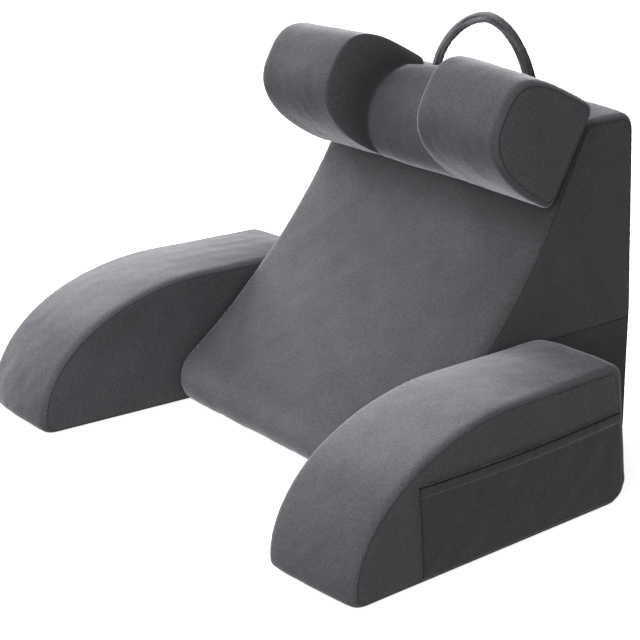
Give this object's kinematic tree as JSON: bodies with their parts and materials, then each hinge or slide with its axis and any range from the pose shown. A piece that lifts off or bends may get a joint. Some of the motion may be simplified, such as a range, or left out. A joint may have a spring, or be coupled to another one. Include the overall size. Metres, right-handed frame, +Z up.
{
  "type": "wedge reading pillow",
  "caption": "Wedge back cushion with splayed arm cushions, a saddle-shaped neck pillow at its top, an arched carry handle and a side pocket, in soft velour.",
  "frame": {"origin": "on the floor, at the middle of the whole pillow's footprint", "axes": "+Z up, -Y towards the front, where the sitter's legs lie, +X to the sitter's left"},
  "size_m": [0.776, 0.5982, 0.532],
  "materials": {
    "wedge_velour": "short-pile velour, soft sheen",
    "arm_velour": "short-pile velour, soft sheen",
    "pillow_velour": "short-pile velour, soft sheen",
    "handle_velour": "padded strap in short-pile velour",
    "pocket_velour": "short-pile velour, hemmed"
  },
  "bodies": {
    "root": {"wedge_body": "wedge_velour", "arm_left": "arm_velour", "arm_right": "arm_velour", "neck_pillow": "pillow_velour", "carry_handle": "handle_velour", "pocket_panel": "pocket_velour"}
  },
  "joints": []
}
